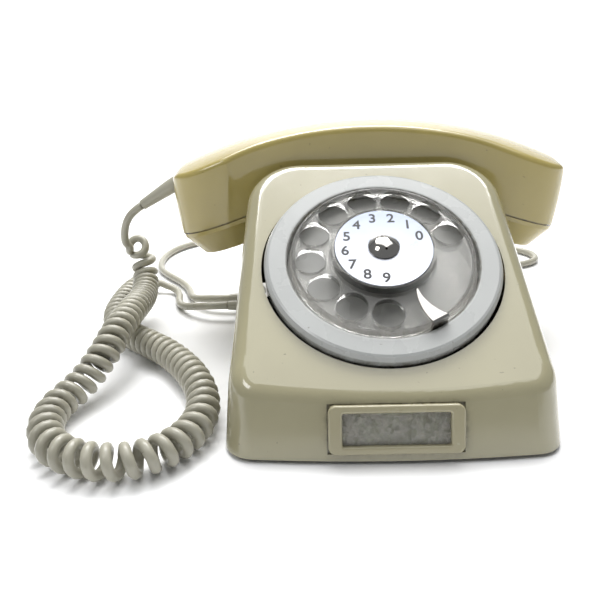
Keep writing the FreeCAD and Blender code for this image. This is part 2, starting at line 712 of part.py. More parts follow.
legs = [box(SHEET, 16, BRACKET_Z - 3, side * (BRACKET_HALF - SHEET / 2), HANDSET_Y, PLATE_FOOT + PLATE_THICK)
        for side in (-1, 1)]
bracket = cut(fuse(box(2 * BRACKET_HALF, 16, SHEET, 0, HANDSET_Y, BRACKET_Z), *legs),
              rod(1.7, 8, 0, HANDSET_Y, BRACKET_Z - 3))
subpart(bracket, "yoke_bracket")


def coil_spring(radius, wire, pitch, foot, head):
    """An open compression spring."""
    helix = Part.makeHelix(pitch, head - foot - 2 * wire, radius)
    profile = Part.Wire(Part.makeCircle(wire, Vector(radius, 0, 0), Vector(0, 1, 0)))
    spring = Part.Wire(helix).makePipeShell([profile], True, True)
    spring.translate(Vector(0, HANDSET_Y, foot + wire))
    return Part.Solid(spring) if spring.ShapeType != "Solid" else spring


feature("yoke_spring", coil_spring(3.2, 0.4, 2.2, BRACKET_Z + 1.6, YOKE_Z - 3.1))
switch = leaf_stack(3, 22.0, 4.0, 2.4)
switch.rotate(Vector(0, 0, 0), Vector(0, 0, 1), 90)
feature("hook_contacts", switch, moved(20.0, HANDSET_Y - 11.0, BRACKET_Z + 2.0))

# ---------------------------------------------------------------- ringer

RINGER_Y = 68.0
GONG_X = 27.5
GONG_RADIUS = 22.0
RINGER_Z = 11.0


def gong(x):
    """A bell of thin metal, open downwards, with a hole for its screw."""
    dome = Part.makeSphere(30.0, Vector(0, 0, -15.0)).common(Part.makeCylinder(GONG_RADIUS, 16.0))
    inner = Part.makeSphere(28.8, Vector(0, 0, -15.0)).common(Part.makeCylinder(GONG_RADIUS - 1.2, 16.0))
    bell = dome.cut(inner).cut(Part.makeCylinder(1.6, 40, Vector(0, 0, -10)))
    bell.translate(Vector(x, RINGER_Y, RINGER_Z))
    return bell


feature("ringer_gongs", Part.makeCompound([gong(-GONG_X), gong(GONG_X)]))
gong_posts = [fuse(rod(3.0, RINGER_Z + 13.7 - 4.0, s * GONG_X, RINGER_Y, 4.0),
                   rod(1.5, 4.0, s * GONG_X, RINGER_Y, RINGER_Z + 11.5),
                   rod(3.4, 1.8, s * GONG_X, RINGER_Y, RINGER_Z + 15.1)) for s in (-1, 1)]
subpart(group(*gong_posts), "gong_posts")
ARMATURE_Y = 38.0
CLAPPER_Z = 13.5
coils = [cut(primitive("Part::Cylinder", {"Radius": 7.0, "Height": 20.0},
                       Placement(Vector(x, ARMATURE_Y - 26.0, CLAPPER_Z), Rotation(Vector(1, 0, 0), -90))),
             primitive("Part::Cylinder", {"Radius": 3.0, "Height": 30.0},
                       Placement(Vector(x, ARMATURE_Y - 30.0, CLAPPER_Z), Rotation(Vector(1, 0, 0), -90))))
         for x in (-10, 10)]
subpart(group(*coils), "ringer_coils")
yoke_bar = fuse(box(30, 3.0, 12, 0, ARMATURE_Y - 28.0, CLAPPER_Z - 6.0),
                *[primitive("Part::Cylinder", {"Radius": 2.9, "Height": 24.0},
                            Placement(Vector(x, ARMATURE_Y - 28.0, CLAPPER_Z), Rotation(Vector(1, 0, 0), -90)))
                  for x in (-10, 10)],
                box(8, 3.0, 5.0, 0, ARMATURE_Y - 28.0, 4.0), box(8, 34.0, 1.5, 0, ARMATURE_Y - 13.0, 4.0),
                rod(1.5, 20.0, 0, ARMATURE_Y, 4.5))
subpart(yoke_bar, "ringer_core")
subpart(cut(fuse(box(30, 2.4, 9, 0, ARMATURE_Y, CLAPPER_Z - 4.5), rod(3.0, 9, 0, ARMATURE_Y, CLAPPER_Z - 4.5)),
            rod(1.55, 20, 0, ARMATURE_Y, CLAPPER_Z - 9)), "ringer_armature")
clapper = fuse(primitive("Part::Cylinder", {"Radius": 0.9, "Height": RINGER_Y - ARMATURE_Y - 3.0},
                         Placement(Vector(0, ARMATURE_Y + 2.9, CLAPPER_Z), Rotation(Vector(1, 0, 0), -90))),
               primitive("Part::Sphere", {"Radius": 3.3}, moved(0, RINGER_Y, CLAPPER_Z)))
subpart(clapper, "clapper")

# ---------------------------------------------------------------- circuit

BOARD_Y = -62.0
BOARD_Z = 9.0
board = cut(box(84, 40, 1.6, 0, BOARD_Y, BOARD_Z),
            *[rod(1.6, 9, x, BOARD_Y + y, BOARD_Z - 3) for x in (-38, 38) for y in (-16, 16)])
subpart(board, "circuit_board")
standoffs = [fuse(rod(3.0, BOARD_Z - 4.0, x, BOARD_Y + y, 4.0), rod(1.5, 3.0, x, BOARD_Y + y, BOARD_Z - 1.0))
             for x in (-38, 38) for y in (-16, 16)]
subpart(group(*standoffs), "board_standoffs")
subpart(fuse(box(22, 18, 5.0, -22, BOARD_Y, BOARD_Z + 1.6), box(16, 24, 3.0, -22, BOARD_Y, BOARD_Z + 1.6)),
        "transformer")
subpart(primitive("Part::Cylinder", {"Radius": 4.0, "Height": 24.0},
                  Placement(Vector(2, BOARD_Y - 8, BOARD_Z + 5.6), Rotation(Vector(0, 1, 0), 90))), "capacitor")
terminals = fuse(box(34, 8, 4.0, 18, BOARD_Y + 12, BOARD_Z + 1.6),
                 *[rod(1.6, 5.0, 6 + 6 * i, BOARD_Y + 12, BOARD_Z + 1.6) for i in range(5)])
subpart(terminals, "terminal_block")

# ---------------------------------------------------------------- handset

HALF_LENGTH = size("handset_length") / 2
END_OVERRUN = 1.2
END_ROUND = 20.0
CAP_GROOVE = 0.9
CAP_TURN = size("cap_tilt")


def cap_place(side):
    """The middle of a cap's seam: its Z points into the handset."""
    turn = Rotation(Vector(0, 1, 0), side * CAP_TURN)
    return Placement(Vector(side * size("cap_x"), HANDSET_Y, size("cap_z")), turn)


def handset_outline(height, end, half):
    """The handset seen from above, at one height: two wide ends with round corners, and a narrower grip."""
    grip = size("grip_half")
    hip = 82
    flank = [(-hip, end), (-73, end - 1.0), (-61, grip + 1.6), (-44, grip + 0.2), (0, grip - 0.3)]
    flank += [(-x, y) for x, y in reversed(flank[:-1])]
    edges = []
    for side in (1, -1):
        def spot(x, y):
            return Vector(x * side, HANDSET_Y + y * side, height)

        def smooth(points, first, last):
            line = Part.BSplineCurve()
            line.interpolate([spot(x, y) for x, y in points], InitialTangent=first * side, FinalTangent=last * side)
            return line.toShape()

        ahead, across = Vector(1, 0, 0), Vector(0, -1, 0)
        flat = end - END_ROUND
        bulge = (hip + 0.74 * (half - hip), flat + 0.74 * END_ROUND)
        drop = (bulge[0], -bulge[1])
        edges += [smooth(flank, ahead, ahead),
                  smooth([(hip, end), bulge, (half, flat)], ahead, across),
                  Part.LineSegment(spot(half, flat), spot(half, -flat)).toShape(),
                  smooth([(half, -flat), drop, (hip, -end)], across, ahead * -1)]
    return Part.Wire(edges)


def handset_plan(inset):
    """The handset's outline as a tall block that bulges a little at the ends and leans in below them."""
    end, half = size("end_half") - inset, HALF_LENGTH - inset
    levels = [(30, end - 2.6, half - 7.5), (58, end - 0.9, half - 2.6), (84, end, half), (112, end - 0.7, half - 0.6),
              (140, end - 2.0, half - 3.0)]
    return Part.makeLoft([handset_outline(z, y, x) for z, y, x in levels], True, False)


def handset_arch():
    """The arched top of the handset, crowned across, swung round an axis far below."""
    radius = size("handset_arc")
    wide, crown = 30.0, 5.4
    top = Part.Arc(Vector(0, -wide, radius - crown), Vector(0, 0, radius), Vector(0, wide, radius - crown)).toShape()
    low = radius - 120
    sides = Part.makePolygon([Vector(0, wide, radius - crown), Vector(0, wide, low), Vector(0, -wide, low),
                              Vector(0, -wide, radius - crown)])
    face = Part.Face(Part.Wire([top] + sides.Edges))
    face.rotate(Vector(0, 0, 0), Vector(0, 1, 0), -40)
    arch = face.revolve(Vector(0, 0, 0), Vector(0, 1, 0), 80)
    arch.translate(Vector(0, HANDSET_Y, GRIP_UNDER))
    return arch


def outer_half(side):
    """All the space on one side of the handset's grip."""
    return Part.makeBox(200, 200, 400, Vector(50 if side > 0 else -250, -50, -150))


def on_crease(edge):
    """Whether an edge belongs to the loop that runs round the top of the handset."""
    middle = edge.valueAt((edge.FirstParameter + edge.LastParameter) / 2)
    reach = math.hypot(middle.x, middle.z - GRIP_UNDER)
    across = abs(middle.y - HANDSET_Y) < 1 and abs(middle.x) < HALF_LENGTH - 0.5
    return reach > UNDER_ARC + 10 and not across and not upright(edge)


def handset_shell():
    reach = HALF_LENGTH + END_OVERRUN
    ends = Part.makeBox(2 * reach, 90, 300, Vector(-reach, HANDSET_Y - 45, -100))
    solid = handset_arch().common(ends)
    top_ends = [e for e in solid.Edges if e.CenterOfMass.z > 80 and abs(abs(e.CenterOfMass.x) - reach) < 1
                and e.BoundBox.YLength > 40]
    solid = solid.makeFillet(13.0, top_ends)
    solid = solid.common(handset_plan(0))
    under = Part.makeCylinder(UNDER_ARC, 90, Vector(0, HANDSET_Y - 45, GRIP_UNDER), Vector(0, 1, 0))
    inner = 57.0
    under = under.common(Part.makeBox(2 * inner, 100, 300, Vector(-inner, HANDSET_Y - 50, -60)))
    hips = [e for e in under.Edges if abs(abs(e.CenterOfMass.x) - inner) < 0.1 and e.CenterOfMass.z > 75
            and e.BoundBox.YLength > 50]
    under = under.makeFillet(14.0, hips)
    solid = solid.cut(under)
    for side in (-1, 1):
        below = Part.makeBox(160, 90, 110, Vector(-80, -45, -110))
        below.Placement = cap_place(side)
        solid = solid.cut(below.common(outer_half(side)))
    return solid.makeFillet(3.0, [e for e in solid.Edges if on_crease(e)])


def hollowed(solid):
    """The handset's two capsule chambers, the wire channel between them and the cord's hole."""
    for side in (-1, 1):
        chamber = Part.makeCylinder(20.2, 14.0)
        chamber.Placement = cap_place(side)
        solid = solid.cut(chamber)
    channel = Part.makeCylinder(UNDER_ARC + 15, 14, Vector(0, HANDSET_Y - 7, GRIP_UNDER), Vector(0, 1, 0))
    channel = channel.cut(Part.makeCylinder(UNDER_ARC + 7, 14, Vector(0, HANDSET_Y - 7, GRIP_UNDER), Vector(0, 1, 0)))
    channel = channel.common(Part.makeBox(164, 40, 90, Vector(-82, HANDSET_Y - 20, 60)))
    way_in = Part.makeCylinder(4.2, 20, BOOT_FOOT - BOOT_WAY * 14, BOOT_WAY)
    return solid.cut(channel).cut(way_in)


BOOT_WAY = Vector(-0.855, 0.05, -0.516).normalize()
BOOT_FOOT = Vector(-HALF_LENGTH, HANDSET_Y, 83.0)
BOOT_LENGTH = 24.0
feature("handset_shell", hollowed(handset_shell()))


def handset_cap(side):
    """An ear or mouth cap: its rim is the handset's outline, and it narrows to a flat, pierced face."""
    slab = Part.makeBox(72, 90, 0.01, Vector(-36, -45, -0.01))
    slab.Placement = cap_place(side)
    rim = max(handset_plan(0.15).common(slab).common(outer_half(side)).Faces, key=lambda f: f.Area).OuterWire
    rim.transformShape(cap_place(side).inverse().toMatrix())
    middle = rim.CenterOfMass

    def level(depth, scale):
        """The rim's outline, scaled about its middle and lowered."""
        wire = rim.copy()
        wire.translate(middle * -1)
        wire.scale(scale)
        wire.translate(Vector(middle.x, middle.y, middle.z - depth))
        return wire

    neck = Part.makeLoft([level(0, 0.955), level(CAP_GROOVE, 0.955)], True, True)
    band = Part.makeLoft([level(CAP_GROOVE, 1.0), level(CAP_GROOVE + 2.2, 0.995)], True, True)
    cone = Part.makeLoft([level(CAP_GROOVE + 2.2, 0.995), level(size("cap_thick"), 0.76)], True, True)
    cap = cone.multiFuse([band, neck]).removeSplitter()
    foot = [e for e in cap.Edges if e.BoundBox.ZMax < -size("cap_thick") + 0.2]
    cap = cap.makeFillet(2.6, foot)
    floor = size("cap_thick") - 2.6
    cap = cap.cut(Part.makeCylinder(18.0, floor, Vector(middle.x, 0, -floor)))
    spots = [(0, 0)] + ring_spots(4.5, range(0, 360, 60)) + ring_spots(9.0, range(0, 360, 30))
    for x, y in spots:
        cap = cap.cut(Part.makeCylinder(1.0, 20, Vector(middle.x + x, y, -20)))
    return cap


feature("mouthpiece_cap", handset_cap(-1), cap_place(-1))
feature("earpiece_cap", handset_cap(1), cap_place(1))


CAPSULE = [(0, 12.0), (17.0, 12.0), (19.6, 9.5), (19.6, 1.0), (17.5, 0.4), (0, 0.4)]
turned("receiver_capsule", CAPSULE, cap_place(1))
turned("transmitter_capsule", CAPSULE, cap_place(-1))
contact_rings = []
for side in (-1, 1):
    ring_piece = cut(rod(9.0, 1.4), rod(6.0, 4.0, 0, 0, -1))
    ring_piece.Placement = cap_place(side).multiply(moved(z=12.2))
    contact_rings.append(ring_piece)
subpart(group(*contact_rings), "capsule_contacts")
boot_turn = Rotation(Vector(0, 0, 1), BOOT_WAY)
boot = fuse(primitive("Part::Cylinder", {"Radius": 4.1, "Height": 12.0}, moved(z=-8.0)),
            primitive("Part::Cone", {"Radius1": 4.1, "Radius2": 2.9, "Height": BOOT_LENGTH - 4.0}, moved(z=4.0)))
subpart(boot, "handset_boot", Placement(BOOT_FOOT, boot_turn))


# ---------------------------------------------------------------- cords

def cord_path(points):
    """Straight runs joined by arcs as large as the runs allow, with the tightest radius."""
    corners = [Vector(*point) for point in points]
    edges, radii, here = [], [], corners[0]
    for before, corner, after in zip(corners, corners[1:], corners[2:]):
        back, ahead = before - corner, after - corner
        half_turn = (math.pi - back.getAngle(ahead)) / 2
        reach = 0.45 * min(back.Length, ahead.Length)
        radius = reach / math.tan(half_turn)
        back.normalize()
        ahead.normalize()
        inward = (back + ahead).normalize()
        start, end = corner + back * reach, corner + ahead * reach
        middle = corner + inward * radius * (1 / math.cos(half_turn) - 1)
        edges += [Part.LineSegment(here, start).toShape(), Part.Arc(start, middle, end).toShape()]
        radii.append(radius)
        here = end
    edges.append(Part.LineSegment(here, corners[-1]).toShape())
    return Part.Wire(edges), min(radii)


def tube(label, diameter, points):
    """A plain tube along a cord's path."""
    path, tightest = cord_path(points)
    start = Vector(*points[0])
    circle_edge = Part.makeCircle(diameter / 2, start, Vector(*points[1]) - start)
    shape = path.makePipeShell([Part.Wire(circle_edge)], True, True)
    expected = math.pi * diameter ** 2 / 4 * path.Length
    print(f"{label}: {path.Length:.0f} long, tightest radius {tightest:.1f}, "
          f"volume {shape.Volume:.0f} against {expected:.0f}")
    feature(label, Part.Solid(shape) if shape.ShapeType != "Solid" else shape)


LEAD = [
    (-127.4, 49.2, 70.4), (-133.3, 49.5, 66.9), (-138.1, 50.0, 60.8), (-140.8, 51.5, 52.5),
    (-141.2, 54.0, 44.5), (-138.5, 57.0, 37.5),
]
COIL = [
    (-134.3, 60.6, 42.0), (-133.5, 60.3, 34.5), (-132.3, 57.3, 26.8), (-131.2, 50.8, 21.4), (-130.0, 41.0, 19.6),
    (-128.5, 27.0, 20.8), (-127.5, 2.0, 25.0), (-128.5, -24.0, 25.5), (-132.0, -41.0, 19.0), (-140.0, -53.0, 10.5),
    (-147.0, -66.0, 8.2), (-146.5, -83.0, 8.2), (-138.0, -99.0, 8.2), (-121.0, -108.5, 8.2), (-102.0, -109.0, 8.2),
    (-87.0, -98.5, 8.2), (-80.0, -81.0, 8.2), (-81.5, -61.0, 8.2), (-90.0, -39.0, 8.2), (-105.0, -17.0, 8.2),
    (-122.0, -1.0, 8.2), (-137.0, 12.0, 8.2), (-147.0, 32.0, 8.2), (-148.0, 57.0, 8.2), (-146.5, 77.0, 8.2),
    (-140.5, 89.5, 8.2),
]
TAIL = [
    (-143.5, 82.5, 8.2), (-139.5, 88.7, 7.4), (-133.3, 92.0, 6.0), (-126.3, 91.6, 4.3), (-120.6, 87.4, 2.9),
    (-117.5, 79.6, 2.3), (-116.5, 69.0, 2.3), (-112.5, 59.0, 3.4), (-105.3, 51.5, 5.8), (-95.5, 46.8, 8.0),
    (-87.5, 46.0, GLAND_Z), (GLAND_TIP_X, GLAND_Y["curly"], GLAND_Z),
]
LINE = [
    (GLAND_TIP_X, GLAND_Y["line"], GLAND_Z), (-89.5, 58.0, GLAND_Z), (-98.5, 61.3, 7.0), (-105.5, 68.3, 4.6),
    (-109.5, 78.0, 2.8), (-113.0, 91.0, 2.5), (-120.0, 104.0, 2.5), (-131.0, 117.0, 2.5), (-140.5, 132.0, 2.5),
    (-144.0, 152.0, 2.5), (-141.5, 172.0, 2.5), (-131.5, 190.0, 2.5), (-113.0, 203.0, 2.5), (-88.0, 208.5, 2.5),
    (-60.0, 207.0, 2.5), (-30.0, 200.0, 2.5), (2.0, 192.5, 2.5), (34.0, 187.0, 2.5), (62.0, 177.0, 2.5),
    (84.0, 170.5, 2.5), (102.0, 168.5, 2.5), (117.0, 164.5, 2.5), (128.5, 157.0, 2.5), (134.5, 146.5, 2.5),
    (132.5, 134.5, 2.5), (123.0, 126.5, 2.5), (109.0, 122.5, 2.5), (93.0, 119.0, 2.5), (75.0, 114.5, 2.5),
    (55.0, 112.0, 2.5), (37.0, 112.3, 2.5),
]
COIL_AT = (20.0, 145.0)
PLUG_AT = (-52.0, 164.0)
PLUG_TAIL = [
    (8.0, 112.9, 6.9), (-3.0, 111.4, 4.8), (-14.5, 110.8, 2.9), (-28.0, 113.0, 2.5), (-39.5, 119.0, 2.5),
    (-47.5, 128.5, 2.9), (-51.3, 139.5, 4.8), (-52.0, 148.0, 6.5),
]
tube("handset_cord_lead", size("curly_wire"), LEAD)
tube("handset_cord_coil", size("curly_outer"), COIL)
tube("handset_cord_tail", size("curly_wire"), TAIL)
tube("line_cord", size("line_wire"), LINE)
LINE_TURNS_MIDDLE = 27.5
ROWS_WIDE = 3
ring_width = ROWS_WIDE * size("line_wire") / 2
coil_ring = cut(rod(LINE_TURNS_MIDDLE + ring_width, 2 * size("line_wire")),
                rod(LINE_TURNS_MIDDLE - ring_width, 20.0, z=-1))
subpart(coil_ring, "line_cord_coil", moved(*COIL_AT, 0.2))
tube("line_cord_tail", size("line_wire"), PLUG_TAIL)

PLUG_LENGTH = 30.0
plug_body = box(26.0, PLUG_LENGTH, 13.0, 0, PLUG_LENGTH / 2, 0)
plug_shape = rounded(plug_body, 3.0, lambda e: e.Length < 40)
subpart(plug_shape, "line_plug", moved(PLUG_AT[0], PLUG_AT[1] - 16.0, 0.0))
pins = [primitive("Part::Cylinder", {"Radius": 1.4, "Height": 13.0},
                  Placement(Vector(PLUG_AT[0] + x, PLUG_AT[1] - 16.0 + PLUG_LENGTH - 2.0, 6.5),
                            Rotation(Vector(1, 0, 0), -90))) for x in (-7.5, -2.5, 2.5, 7.5)]
subpart(group(*pins), "plug_pins")

# ---------------------------------------------------------------- checks and files

doc.recompute()
for obj in doc.Objects:
    if "Invalid" in obj.State or "Error" in obj.State:
        raise RuntimeError(f"{obj.Label} did not recompute: {obj.State}")
for obj in subparts:
    if obj.Shape.isNull() or not obj.Shape.isValid() or not obj.Shape.Solids:
        raise RuntimeError(f"{obj.Label} is not a valid solid")
os.makedirs("parts", exist_ok=True)
for obj in subparts:
    obj.Shape.exportStep(f"parts/{obj.Label}.step")
print(len(subparts), "sub-parts written")
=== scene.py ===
import json
import math

import bpy
from mathutils import Matrix, Vector


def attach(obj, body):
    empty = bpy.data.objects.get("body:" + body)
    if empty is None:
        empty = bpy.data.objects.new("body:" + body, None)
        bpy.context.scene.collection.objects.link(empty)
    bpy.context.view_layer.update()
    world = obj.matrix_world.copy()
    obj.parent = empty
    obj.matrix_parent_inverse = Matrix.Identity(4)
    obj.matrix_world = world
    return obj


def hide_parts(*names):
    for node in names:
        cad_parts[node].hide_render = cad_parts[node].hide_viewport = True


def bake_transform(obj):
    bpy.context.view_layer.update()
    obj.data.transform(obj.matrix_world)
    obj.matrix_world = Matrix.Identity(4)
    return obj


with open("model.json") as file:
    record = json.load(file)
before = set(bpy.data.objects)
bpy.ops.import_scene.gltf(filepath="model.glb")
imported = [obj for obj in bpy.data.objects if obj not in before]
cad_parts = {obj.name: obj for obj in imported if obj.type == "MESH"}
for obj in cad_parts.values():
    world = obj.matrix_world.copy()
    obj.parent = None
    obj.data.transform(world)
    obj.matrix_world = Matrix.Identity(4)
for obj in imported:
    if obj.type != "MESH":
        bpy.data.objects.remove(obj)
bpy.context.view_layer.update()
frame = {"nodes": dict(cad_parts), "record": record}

# Rotary telephone: looks, light and camera. Metres, in the telephone's own frame:
# +Z up, -Y towards the person who dials.

MM = 0.001

# ---------------------------------------------------------------- camera

CAMERA_AT = Vector((-0.0335, -0.3191, 0.1593))
YAW, PITCH, ROLL = -0.014, 0.386, 0.027
LENS = 39.37


def camera():
    """The view: a little left of the middle, from above the front."""
    ahead = Vector((math.sin(YAW) * math.cos(PITCH), math.cos(YAW) * math.cos(PITCH), -math.sin(PITCH)))
    right = Vector((math.cos(YAW), -math.sin(YAW), 0))
    down = ahead.cross(right)
    across = math.cos(ROLL) * right + math.sin(ROLL) * down
    upward = math.sin(ROLL) * right - math.cos(ROLL) * down
    data = bpy.data.cameras.new("camera")
    data.lens = LENS
    data.sensor_width = 36
    data.clip_start = 0.01
    data.clip_end = 60
    eye = bpy.data.objects.new("camera", data)
    turn = Matrix((across, upward, -ahead)).transposed().to_4x4()
    eye.matrix_world = Matrix.Translation(CAMERA_AT) @ turn
    bpy.context.collection.objects.link(eye)
    bpy.context.scene.camera = eye


camera()

# ---------------------------------------------------------------- materials


def link(tree, start, end):
    tree.links.new(start, end)


def noise(tree, coords, scale, detail=3.0, roughness=0.55):
    """A noise texture in the object's own space; scale is in features per metre."""
    node = tree.nodes.new("ShaderNodeTexNoise")
    node.inputs["Scale"].default_value = scale
    node.inputs["Detail"].default_value = detail
    node.inputs["Roughness"].default_value = roughness
    link(tree, coords, node.inputs["Vector"])
    return node.outputs["Fac"]


def spread(tree, value, low, high, to_low=0.0, to_high=1.0):
    """value from low..high moved to to_low..to_high, and kept within them."""
    node = tree.nodes.new("ShaderNodeMapRange")
    node.inputs["From Min"].default_value = low
    node.inputs["From Max"].default_value = high
    node.inputs["To Min"].default_value = to_low
    node.inputs["To Max"].default_value = to_high
    link(tree, value, node.inputs["Value"])
    return node.outputs["Result"]


def times(tree, first, second):
    node = tree.nodes.new("ShaderNodeMath")
    node.operation = "MULTIPLY"
    link(tree, first, node.inputs[0])
    if isinstance(second, float):
        node.inputs[1].default_value = second
    else:
        link(tree, second, node.inputs[1])
    return node.outputs["Value"]


def mixed(tree, share, first, second):
    """Two colours mixed; each is a colour or the output of a node."""
    node = tree.nodes.new("ShaderNodeMix")
    node.data_type = "RGBA"
    link(tree, share, node.inputs["Factor"])
    for name, colour in (("A", first), ("B", second)):
        entry = [i for i in node.inputs if i.name == name and i.type == "RGBA"][0]
        if isinstance(colour, tuple):
            entry.default_value = (*colour, 1.0)
        else:
            link(tree, colour, entry)
    return [o for o in node.outputs if o.type == "RGBA"][0]


def bumped(tree, bsdf, height, distance, strength=1.0):
    node = tree.nodes.new("ShaderNodeBump")
    node.inputs["Distance"].default_value = distance
    node.inputs["Strength"].default_value = strength
    link(tree, height, node.inputs["Height"])
    link(tree, node.outputs["Normal"], bsdf.inputs["Normal"])


def surface(name, colour, roughness, metallic=0.0, mottle=0.08, grain=700.0, relief=0.00002,
            grime_and_shade=0.0, grime_and_shade_reach=0.004, dirt_and_shade_colour=(0.10, 0.085, 0.05), coat=0.0, transmission=0.0,
            ior=1.5):
    """A worn surface: uneven colour and gloss, fine grain, specks of dirt, and painted shade mixed with
    dirt in its corners and hollows.
    """
    material = bpy.data.materials.new(name)
    material.use_nodes = True
    tree = material.node_tree
    bsdf = tree.nodes["Principled BSDF"]
    coords = tree.nodes.new("ShaderNodeTexCoord").outputs["Object"]
    broad = spread(tree, noise(tree, coords, 22.0, 4.0), 0.3, 0.7)
    darker = tuple(c * (1 - mottle) for c in colour)
    lighter = tuple(min(1.0, c * (1 + mottle * 0.5)) for c in colour)
    tint = mixed(tree, broad, darker, lighter)
    if grime_and_shade:
        # Painted shade: an ambient-occlusion mask darkens corners, hollows and gaps where shade falls;
        # patchy noise breaks it up, so it is shade and dirt together.
        corner = tree.nodes.new("ShaderNodeAmbientOcclusion")
        corner.inputs["Distance"].default_value = grime_and_shade_reach
        corner.samples = 6
        hidden = spread(tree, corner.outputs["AO"], 0.95, 0.45)
        patchy = spread(tree, noise(tree, coords, 260.0, 5.0, 0.7), 0.35, 0.65)
        corner_dirt_and_shade = times(tree, times(tree, hidden, patchy), grime_and_shade)
        tint = mixed(tree, corner_dirt_and_shade, tint, dirt_and_shade_colour)
        specks = spread(tree, noise(tree, coords, 420.0, 2.0), 0.735, 0.775, 0.0, grime_and_shade * 0.55)
        tint = mixed(tree, specks, tint, dirt_and_shade_colour)
    link(tree, tint, bsdf.inputs["Base Color"])
    gloss = spread(tree, noise(tree, coords, 48.0, 5.0), 0.3, 0.75, roughness * 0.75, roughness * 1.35)
    link(tree, gloss, bsdf.inputs["Roughness"])
    bsdf.inputs["Metallic"].default_value = metallic
    bsdf.inputs["Coat Weight"].default_value = coat
    bsdf.inputs["Coat Roughness"].default_value = 0.06
    bsdf.inputs["Transmission Weight"].default_value = transmission
    bsdf.inputs["IOR"].default_value = ior
    bumped(tree, bsdf, noise(tree, coords, grain, 2.0), relief)
    return material


DIAL_TILT = math.radians(32)
DIAL_AT = Vector((0, -42.0, 68.5)) * MM
DIAL_NORMAL = Vector((0, -math.sin(DIAL_TILT), math.cos(DIAL_TILT)))
DIAL_UP = Vector((0, math.cos(DIAL_TILT), math.sin(DIAL_TILT)))
DIAL = Matrix((Vector((1, 0, 0)), DIAL_UP, DIAL_NORMAL)).transposed().to_4x4()
DIAL = Matrix.Translation(DIAL_AT) @ DIAL


def from_dial_axis(tree, coords):
    """How far a point is from the dial's axis."""
    away = tree.nodes.new("ShaderNodeVectorMath")
    away.operation = "SUBTRACT"
    away.inputs[1].default_value = DIAL_AT
    link(tree, coords, away.inputs[0])
    side = tree.nodes.new("ShaderNodeVectorMath")
    side.operation = "CROSS_PRODUCT"
    side.inputs[1].default_value = DIAL_NORMAL
    link(tree, away.outputs["Vector"], side.inputs[0])
    reach = tree.nodes.new("ShaderNodeVectorMath")
    reach.operation = "LENGTH"
    link(tree, side.outputs["Vector"], reach.inputs[0])
    return reach.outputs["Value"]


def spun_metal():
    """Satin metal turned on a lathe: fine rings, a soft sheen, and a painted reflection that makes it
    darker and bluer towards its top.
    """
    material = surface("number_metal", (0.42, 0.43, 0.46), 0.34, metallic=1.0, mottle=0.10, grime_and_shade=0.5,
                       grime_and_shade_reach=0.0015)
    tree = material.node_tree
    bsdf = tree.nodes["Principled BSDF"]
    coords = tree.nodes.new("ShaderNodeTexCoord").outputs["Object"]
    rings = tree.nodes.new("ShaderNodeTexNoise")
    rings.noise_dimensions = "1D"
    rings.inputs["Scale"].default_value = 3500.0
    link(tree, from_dial_axis(tree, coords), rings.inputs["W"])
    bumped(tree, bsdf, rings.outputs["Fac"], 0.00001)
    # Painted reflection: the colour is mixed towards a dark blue-grey along the dial's upward direction,
    # standing in for reflected surroundings.
    height = tree.nodes.new("ShaderNodeVectorMath")
    height.operation = "DOT_PRODUCT"
    height.inputs[1].default_value = DIAL_UP
    link(tree, coords, height.inputs[0])
    middle = DIAL_AT.dot(DIAL_UP)
    painted_reflection_share = spread(tree, height.outputs["Value"], middle - 16 * MM, middle + 18 * MM)
    plain_tint = bsdf.inputs["Base Color"].links[0].from_socket
    link(tree, mixed(tree, painted_reflection_share, plain_tint, (0.20, 0.22, 0.27)), bsdf.inputs["Base Color"])
    return material


def acrylic():
    """Clear plastic that lets part of the light straight through, with dirt along its rim."""
    material = surface("clear_plastic", (0.985, 0.98, 0.96), 0.05, mottle=0.02, grime_and_shade=0.2,
                       transmission=1.0, ior=1.4)
    tree = material.node_tree
    bsdf = tree.nodes["Principled BSDF"]
    coords = tree.nodes.new("ShaderNodeTexCoord").outputs["Object"]
    rim = spread(tree, from_dial_axis(tree, coords), 39.2 * MM, 41.2 * MM)
    patches = spread(tree, noise(tree, coords, 300.0, 6.0, 0.75), 0.42, 0.62)
    dirty = times(tree, times(tree, rim, patches), 0.5)
    plain_tint = bsdf.inputs["Base Color"].links[0].from_socket
    link(tree, mixed(tree, dirty, plain_tint, (0.30, 0.25, 0.17)), bsdf.inputs["Base Color"])
    link(tree, spread(tree, dirty, 0.0, 1.0, 1.0, 0.25), bsdf.inputs["Transmission Weight"])
    through = tree.nodes.new("ShaderNodeBsdfTransparent")
    through.inputs["Color"].default_value = (0.97, 0.965, 0.95, 1.0)
    blend = tree.nodes.new("ShaderNodeMixShader")
    blend.inputs["Fac"].default_value = 0.28
    link(tree, bsdf.outputs["BSDF"], blend.inputs[1])
    link(tree, through.outputs["BSDF"], blend.inputs[2])
    link(tree, blend.outputs["Shader"], tree.nodes["Material Output"].inputs["Surface"])
    return material


def vinyl():
    """The cords' skin: softly shining vinyl with patches of grime, and painted shade where the cord lies
    close to itself and to the floor.
    """
    return surface("cord_grey", (0.37, 0.355, 0.285), 0.34, mottle=0.16, grime_and_shade=0.75, grime_and_shade_reach=0.0025,
                   dirt_and_shade_colour=(0.09, 0.08, 0.055), coat=0.15)


